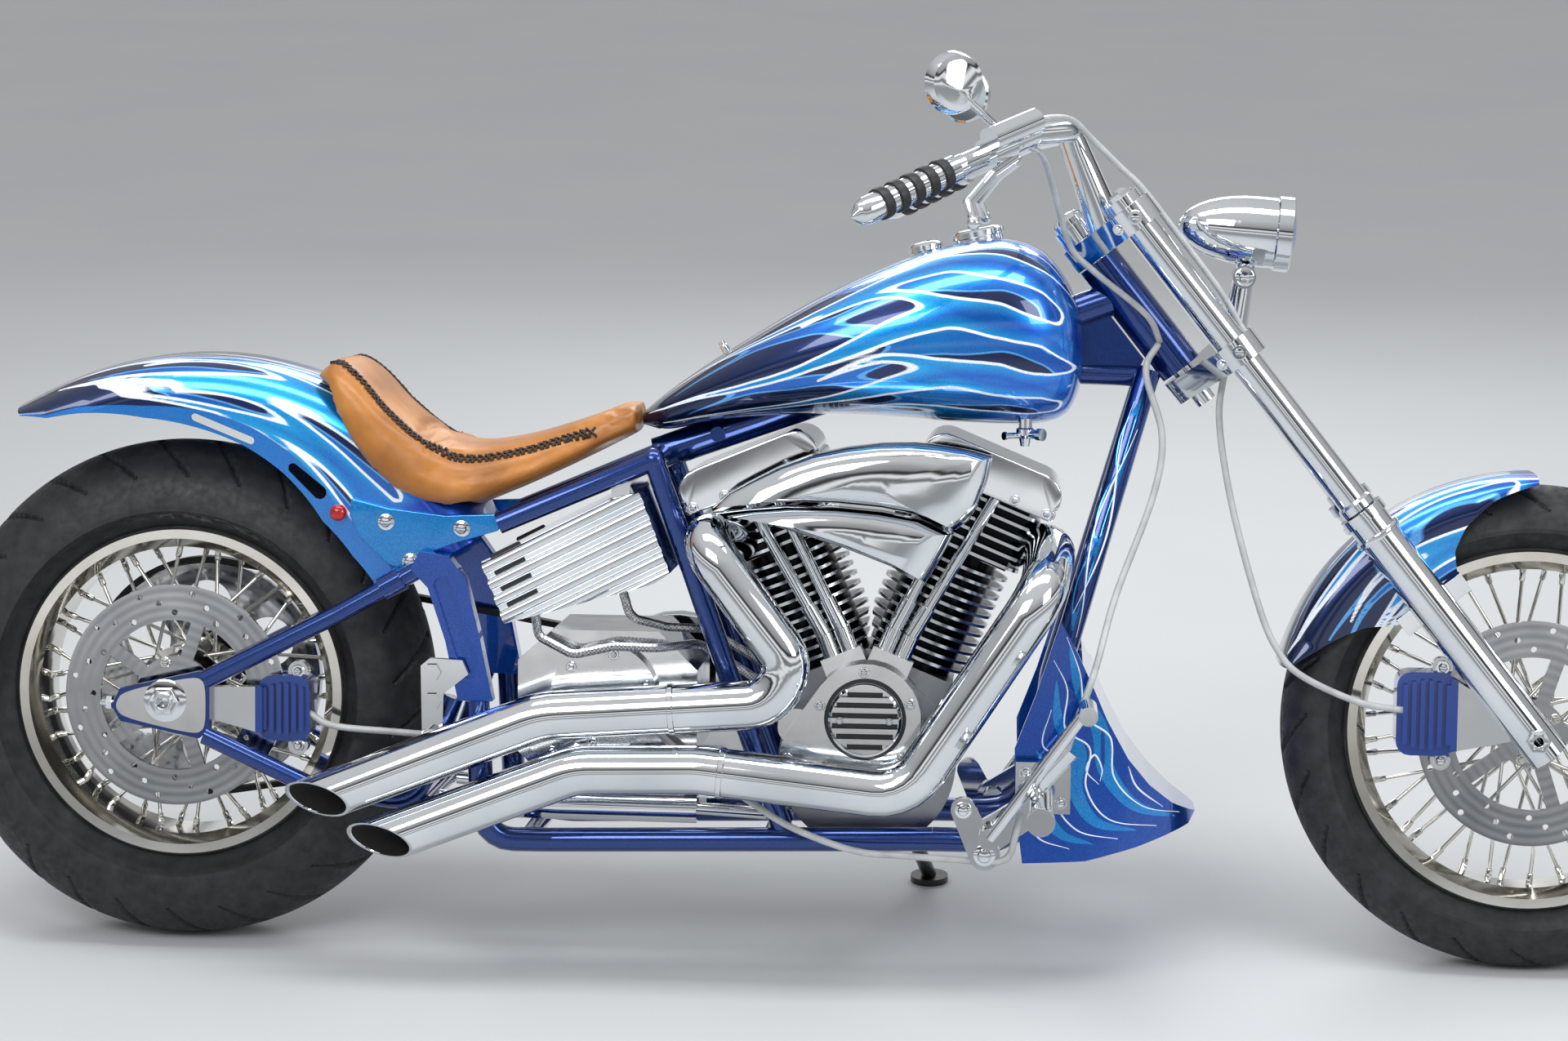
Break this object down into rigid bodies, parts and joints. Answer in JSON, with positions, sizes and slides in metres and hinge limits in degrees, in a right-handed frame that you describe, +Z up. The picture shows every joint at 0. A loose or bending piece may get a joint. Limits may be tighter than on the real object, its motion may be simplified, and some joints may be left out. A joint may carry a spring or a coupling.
{
  "type": "custom cruiser motorcycle",
  "caption": "Raked V-twin cruiser motorcycle with wire wheels, flame-painted tank and fenders, leather solo seat and twin swept exhausts, parked on its side stand.",
  "frame": {"origin": "on the ground, under the middle of the parked motorcycle's outline", "axes": "+X forward along the wheels, +Y to the rider's left, +Z up"},
  "size_m": [2.416, 0.8313, 1.2082],
  "materials": {
    "frame_paint": "deep metallic blue lacquer",
    "body_paint": "candy blue lacquer with pale flames",
    "chrome": "mirror polished",
    "leather": "tan, laced edge",
    "strut_paint": "bright blue lacquer",
    "red_lens": "clear red",
    "engine_metal": "polished castings",
    "black_rubber": "matt",
    "caliper_paint": "blue enamel",
    "lens": "clear",
    "tyre_rubber": "matt",
    "disc_steel": "ground and drilled",
    "stand_steel": "black",
    "braided_hose": "braided"
  },
  "bodies": {
    "frame": {"frame_backbone": "frame_paint", "frame_downtubes": "frame_paint", "frame_lower_rails": "frame_paint", "frame_seat_rails": "frame_paint", "chin_spoiler": "body_paint", "pivot_castings": "body_paint", "swingarm": "frame_paint", "swingarm_bridge": "frame_paint", "rear_axle": "chrome", "shock_absorbers": "chrome", "fuel_tank": "body_paint", "tank_console": "chrome", "seat": "leather", "rear_fender": "body_paint", "fender_struts": "strut_paint", "marker_lamps": "red_lens", "oil_tank": "chrome", "crankcase": "engine_metal", "cylinders": "engine_metal", "rocker_boxes": "chrome", "pushrod_tubes": "chrome", "cam_cover": "chrome", "air_cleaner": "chrome", "carburettor": "engine_metal", "transmission": "engine_metal", "primary_cover": "chrome", "drive_belt": "black_rubber", "front_exhaust": "chrome", "rear_exhaust": "chrome", "foot_controls": "chrome", "rear_caliper": "caliper_paint", "oil_hoses": "braided_hose", "rear_brake_hose": "braided_hose", "clutch_cable": "black_rubber"},
    "fork": {"fork_trees": "chrome", "fork_tubes": "chrome", "fork_sliders": "chrome", "handlebar": "chrome", "grips": "black_rubber", "bar_controls": "chrome", "headlamp": "chrome", "headlamp_lens": "lens", "front_fender": "body_paint", "front_caliper": "caliper_paint", "front_axle": "chrome", "front_brake_hose": "braided_hose"},
    "front_wheel": {"front_tyre": "tyre_rubber", "front_wire_wheel": "chrome", "front_disc": "disc_steel"},
    "rear_wheel": {"rear_tyre": "tyre_rubber", "rear_wire_wheel": "chrome", "rear_disc": "disc_steel", "rear_pulley": "disc_steel"},
    "side_stand": {"side_stand": "stand_steel"}
  },
  "joints": [
    {"name": "steering", "type": "hinge", "parent": "frame", "child": "fork", "pos_m": [0.37307, -0.01802, 0.84592], "axis": [-0.6225, 0.1224, 0.773], "range_deg": [-35, 35]},
    {"name": "front_wheel_spin", "type": "hinge", "parent": "fork", "child": "front_wheel", "pos_m": [0.891, -0.10229, 0.31387], "axis": [0, 0.9877, -0.1564], "continuous": true},
    {"name": "rear_wheel_spin", "type": "hinge", "parent": "frame", "child": "rear_wheel", "pos_m": [-0.876, -0.09989, 0.32902], "axis": [0, 0.9877, -0.1564], "continuous": true},
    {"name": "side_stand_fold", "type": "hinge", "parent": "frame", "child": "side_stand", "pos_m": [0.084, 0.01774, 0.11284], "axis": [0, 0.8704, 0.4924], "range_deg": [0, 88]}
  ]
}
